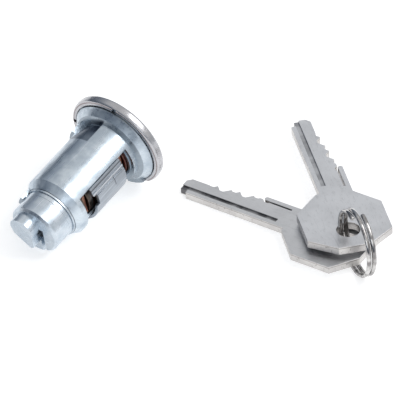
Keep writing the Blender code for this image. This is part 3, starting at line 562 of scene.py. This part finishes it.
def satin_nickel(name, place, shade_and_dirt, brightness):
    """Satin plate on a key: worn faces, grey warm nicked edges, painted shade and dirt in the milled
    cuts.
    """
    shader = Shader(name, place)
    along, across, up = shader.axes()
    cloud = shader.noise(**KEY_CLOUD)
    grain = shader.noise(**KEY_GRAIN)
    scratches = shader.noise(**KEY_SCRATCHES)
    wear = shader.noise(**KEY_WEAR)
    nicks = shader.noise(**KEY_NICKS)
    patches = shader.noise(**KEY_CUT_SHADE_AND_DIRT_PATCHES)

    tone = shader.blend(
        shader.span(cloud, *KEY_CLOUD_SPAN), shaded(KEY_DARK, brightness), shaded(KEY_LIGHT, brightness))
    tone = shader.blend(shader.span(scratches, *KEY_SCRATCH_SPAN), tone, KEY_SCRATCH_TONE)
    tone = shader.blend(shader.span(grain, *KEY_GRAIN_SPAN), tone, KEY_GRAIN_TONE)
    tone = shader.blend(shader.span(wear, *KEY_WEAR_SPAN), tone, KEY_WEAR_TONE)

    rim = shader.span(shader.lean(), *KEY_RIM_SPAN)
    rim_tone = shader.blend(shader.span(cloud, *KEY_RIM_CLOUD_SPAN), KEY_RIM_DARK, KEY_RIM_LIGHT)
    tone = shader.blend(rim, tone, rim_tone)
    tone = shader.tint(tone, rim, shader.span(nicks, *KEY_NICK_SPAN), KEY_NICK_AND_EDGE_SHADE_TONE)
    # Painted shade: a dark line along the top of the side walls
    edge_shade_line = shader.times(rim, shader.within(up, *KEY_EDGE_SHADE_LINE))
    tone = shader.tint(tone, edge_shade_line, KEY_EDGE_SHADE_LINE_SHARE, KEY_NICK_AND_EDGE_SHADE_TONE)

    # Painted shade and dirt, in patches, in the groove and beside the finger
    shade_and_dirt_share = shader.span(patches, *KEY_CUT_SHADE_AND_DIRT_SPAN, KEY_CUT_SHADE_AND_DIRT_LEAST * shade_and_dirt, shade_and_dirt)
    tone = shader.tint(tone, milled_cuts(shader, along, across, up), shade_and_dirt_share, KEY_CUT_SHADE_AND_DIRT_TONE)
    shader.bump(shader.maths("ADD", grain, scratches), *KEY_BUMP)
    return shader.paint(tone, shader.span(grain, *KEY_FINISH_SPAN))


def smooth_by_angle():
    """A modifier's node group: smooth faces, sharp along edges that turn more than the limit."""
    group = bpy.data.node_groups.new("smooth_by_angle", "GeometryNodeTree")
    group.interface.new_socket("Geometry", in_out="INPUT", socket_type="NodeSocketGeometry")
    group.interface.new_socket("Geometry", in_out="OUTPUT", socket_type="NodeSocketGeometry")
    nodes = group.nodes
    start = nodes.new("NodeGroupInput")
    faces = nodes.new("GeometryNodeSetShadeSmooth")
    edges = nodes.new("GeometryNodeSetShadeSmooth")
    edges.domain = "EDGE"
    edges.inputs["Shade Smooth"].default_value = False
    angle = nodes.new("GeometryNodeInputMeshEdgeAngle")
    limit = nodes.new("FunctionNodeCompare")
    limit.operation = "GREATER_THAN"
    limit.inputs["B"].default_value = EDGE_ANGLE
    end = nodes.new("NodeGroupOutput")
    link = group.links.new
    link(start.outputs[0], faces.inputs["Geometry"])
    link(faces.outputs[0], edges.inputs["Geometry"])
    link(angle.outputs["Unsigned Angle"], limit.inputs["A"])
    link(limit.outputs[0], edges.inputs["Selection"])
    link(edges.outputs[0], end.inputs[0])
    return group


def dress(node, material, edge_round, smoothing):
    """Gives a CAD node its material and small rounded edges."""
    node.data.materials.clear()
    node.data.materials.append(material)
    weld = node.modifiers.new("weld", "WELD")
    weld.merge_threshold = WELD_DISTANCE
    flats = node.modifiers.new("flats", "DECIMATE")
    flats.decimate_type = "DISSOLVE"
    flats.angle_limit = FLAT_ANGLE
    smooth = node.modifiers.new("smooth", "NODES")
    smooth.node_group = smoothing
    bevel = node.modifiers.new("edges", "BEVEL")
    bevel.width = edge_round
    bevel.segments = EDGE_SEGMENTS
    bevel.limit_method = "ANGLE"
    bevel.angle_limit = EDGE_ANGLE
    normals = node.modifiers.new("normals", "WEIGHTED_NORMAL")
    normals.mode = "FACE_AREA"
    normals.weight = NORMAL_WEIGHT
    normals.keep_sharp = True


def add_object(name, data):
    made = bpy.data.objects.new(name, data)
    bpy.context.scene.collection.objects.link(made)
    return made


def skin(name, place, rings, material):
    """A closed piece through rings of points in the place's frame, capped at both ends."""
    bm = bmesh.new()
    loops = [[bm.verts.new(point) for point in ring] for ring in rings]
    for first, second in zip(loops, loops[1:]):
        for k in range(len(first)):
            far = (k + 1) % len(first)
            bm.faces.new((first[k], first[far], second[far], second[k]))
    bm.faces.new(list(reversed(loops[0])))
    bm.faces.new(loops[-1])
    bmesh.ops.recalc_face_normals(bm, faces=bm.faces)
    bm.transform(place)
    mesh = bpy.data.meshes.new(name)
    bm.to_mesh(mesh)
    bm.free()
    mesh.materials.append(material)
    return add_object(name, mesh)


def coil(name, place, wound, fineness, material, flatness=1.0):
    """A wire wound about the place's y axis, with both ends rounded off.

    Flatness stretches the wire along the coil's axis, as on a ring of flattened wire.
    """
    radius, wire, pitch, turns, lead = wound
    points, sides = fineness
    count = turns * points
    centres = []
    for i in range(count + 1):
        angle = lead + 2 * math.pi * i / points
        lift = pitch * (i / points - turns / 2)
        centres.append(Vector((radius * math.cos(angle), lift, radius * math.sin(angle))))
    tangents = [(centres[min(i + 1, count)] - centres[max(i - 1, 0)]).normalized()
                for i in range(count + 1)]
    rounding = [math.pi / 2 * i / (END_RINGS + END_FLAT) for i in range(1, END_RINGS + 1)]
    steps = [(0, -math.sin(a), math.cos(a)) for a in reversed(rounding)]
    steps += [(i, 0.0, 1.0) for i in range(count + 1)]
    steps += [(count, math.sin(a), math.cos(a)) for a in rounding]

    rings = []
    for i, forward, thickness in steps:
        along = tangents[i]
        middle = centres[i] + along * forward * wire / 2
        out = Vector((centres[i].x, 0, centres[i].z))
        out = (out - along * out.dot(along)).normalized()
        side = along.cross(out)
        ring = []
        for k in range(sides):
            turn = 2 * math.pi * k / sides
            spoke = out * math.cos(turn) + side * math.sin(turn) * flatness
            ring.append(middle + spoke * thickness * wire / 2)
        rings.append(ring)
    piece = skin(name, place, rings, material)
    piece.data.shade_smooth()
    return piece


def middle_of(node):
    low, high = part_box(node)
    return (low + high) / 2


def add_ring(material):
    """The two-turn ring, upright through both bows."""
    low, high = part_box("key_ring")
    radius = (high.z - low.z - RING_WIRE) / 2
    place = Matrix.Translation(middle_of("key_ring")) @ Matrix.Rotation(RING_HEADING, 4, "Z")
    wound = (radius, RING_WIRE, RING_PITCH, RING_TURNS, RING_LEAD)
    ring = coil("split_ring", place, wound, RING_FINENESS, material, RING_FLATNESS)
    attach(ring, "key_ring_body")
    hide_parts("key_ring")


def add_springs(lock, material):
    """Coils under the wafers' ears; their axis is the wafers' direction."""
    basis = lock.to_3x3().to_4x4() @ Matrix.Rotation(-math.pi / 2, 4, "Z")
    wound = (SPRING_RADIUS, SPRING_WIRE, SPRING_PITCH, SPRING_TURNS, SPRING_LEAD)
    for i in range(1, WAFER_COUNT + 1):
        node = f"wafer_spring_{i}"
        place = Matrix.Translation(middle_of(node)) @ basis
        spring = coil(f"ear_spring_{i}", place, wound, SPRING_FINENESS, material)
        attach(spring, "plug_body")
        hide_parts(node)


def add_shims(lock, material):
    """Thin open shims that close the gaps beside the stop ring."""
    start, end = SHIM_ANGLES
    angles = [start + (end - start) * k / SHIM_STEPS for k in range(SHIM_STEPS + 1)]
    for i, (bore, radius, front, back) in enumerate(SHIMS, 1):
        section = ((radius, front), (radius, back), (bore, back), (bore, front))
        rings = [[Vector((r * math.cos(a), r * math.sin(a), z)) for r, z in section] for a in angles]
        shim = skin(f"ring_shim_{i}", lock, rings, material)
        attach(shim, "plug_body")


def add_floor():
    bm = bmesh.new()
    bmesh.ops.create_grid(bm, x_segments=1, y_segments=1, size=FLOOR_HALF)
    mesh = bpy.data.meshes.new("floor")
    bm.to_mesh(mesh)
    bm.free()
    floor = add_object("floor", mesh)
    floor.location.z = -FLOOR_DROP
    material = bpy.data.materials.new("floor_white")
    material.use_nodes = True
    surface = material.node_tree.nodes["Principled BSDF"]
    surface.inputs["Base Color"].default_value = FLOOR_COLOUR
    surface.inputs["Emission Color"].default_value = FLOOR_GLOW_COLOUR
    surface.inputs["Emission Strength"].default_value = FLOOR_GLOW
    surface.inputs["Roughness"].default_value = FLOOR_ROUGHNESS
    surface.inputs["Specular IOR Level"].default_value = FLOOR_SPECULAR
    mesh.materials.append(material)


def add_light(name, place, size, power, colour):
    """A soft light, aimed at the origin."""
    data = bpy.data.lights.new(name, "AREA")
    data.shape = "RECTANGLE"
    data.size, data.size_y = size
    data.energy = power
    data.color = colour
    light = add_object(name, data)
    light.location = place
    light.rotation_euler = (-Vector(place)).to_track_quat("-Z", "Y").to_euler()


def add_world():
    """A studio that is bright towards the upper right and darker towards the left horizon."""
    world = bpy.data.worlds.new("studio")
    bpy.context.scene.world = world
    world.use_nodes = True
    tree = world.node_tree
    coordinates = tree.nodes.new("ShaderNodeTexCoord")
    facing = tree.nodes.new("ShaderNodeVectorMath")
    facing.operation = "DOT_PRODUCT"
    facing.inputs[1].default_value = BRIGHT_SIDE
    ramp = tree.nodes.new("ShaderNodeValToRGB")
    stops = ramp.color_ramp.elements
    stops[0].position, stops[0].color = SKY_STOPS[0]
    stops[1].position, stops[1].color = SKY_STOPS[-1]
    for place, colour in SKY_STOPS[1:-1]:
        stops.new(place).color = colour
    background = tree.nodes["Background"]
    background.inputs["Strength"].default_value = SKY_STRENGTH
    tree.links.new(coordinates.outputs["Generated"], facing.inputs[0])
    tree.links.new(facing.outputs["Value"], ramp.inputs["Fac"])
    tree.links.new(ramp.outputs["Color"], background.inputs["Color"])


def add_camera():
    data = bpy.data.cameras.new("camera")
    data.lens = CAMERA_LENS
    data.sensor_width = SENSOR_WIDTH
    camera = add_object("camera", data)
    back = Vector((0, -math.cos(CAMERA_ELEVATION), math.sin(CAMERA_ELEVATION)))
    camera.location = Vector(CAMERA_TARGET) + back * CAMERA_DISTANCE
    camera.rotation_euler = (-back).to_track_quat("-Z", "Y").to_euler()
    bpy.context.scene.camera = camera


def main():
    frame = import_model()
    nodes = frame["nodes"]
    lock = lock_frame(frame)
    ring_place = Matrix.Translation(middle_of("key_ring"))

    zinc = plated_zinc("bright_zinc", lock, **LIT_ZINC)
    brass = stamped_brass("wafer_brass", lock)
    spring_wire = drawn_wire("spring_steel", lock, **SPRING_STEEL)
    ring_wire = drawn_wire("ring_steel", ring_place, **RING_STEEL)
    finishes = {
        "housing": plated_zinc("barrel_zinc", lock, **BARREL_ZINC, notched=True),
        "face_cap": pressed_stainless("stainless_cap", lock),
        "cover_strip": brushed_steel("strip_steel", lock),
        "plug": plated_zinc("core_zinc", lock, **SHADED_CORE_ZINC, tinted_at_openings=True),
        "stop_ring": zinc,
        "drive_tail": zinc,
        "tail_pin": spring_wire,
    }
    for name in KEY_HEADINGS:
        finishes[name] = satin_nickel(
            f"{name}_nickel", key_frame(frame, name), KEY_CUT_SHADE_AND_DIRT[name], KEY_BRIGHTNESS[name])

    smoothing = smooth_by_angle()
    for name, material in finishes.items():
        dress(nodes[name], material, EDGE_ROUNDS[name], smoothing)
    for i in range(1, WAFER_COUNT + 1):
        dress(nodes[f"wafer_{i}"], brass, WAFER_ROUND, smoothing)
    add_ring(ring_wire)
    add_springs(lock, spring_wire)
    add_shims(lock, zinc)

    add_floor()
    add_world()
    for light in LIGHTS:
        add_light(*light)
    add_camera()
    bpy.context.scene.view_settings.view_transform = "Standard"


main()
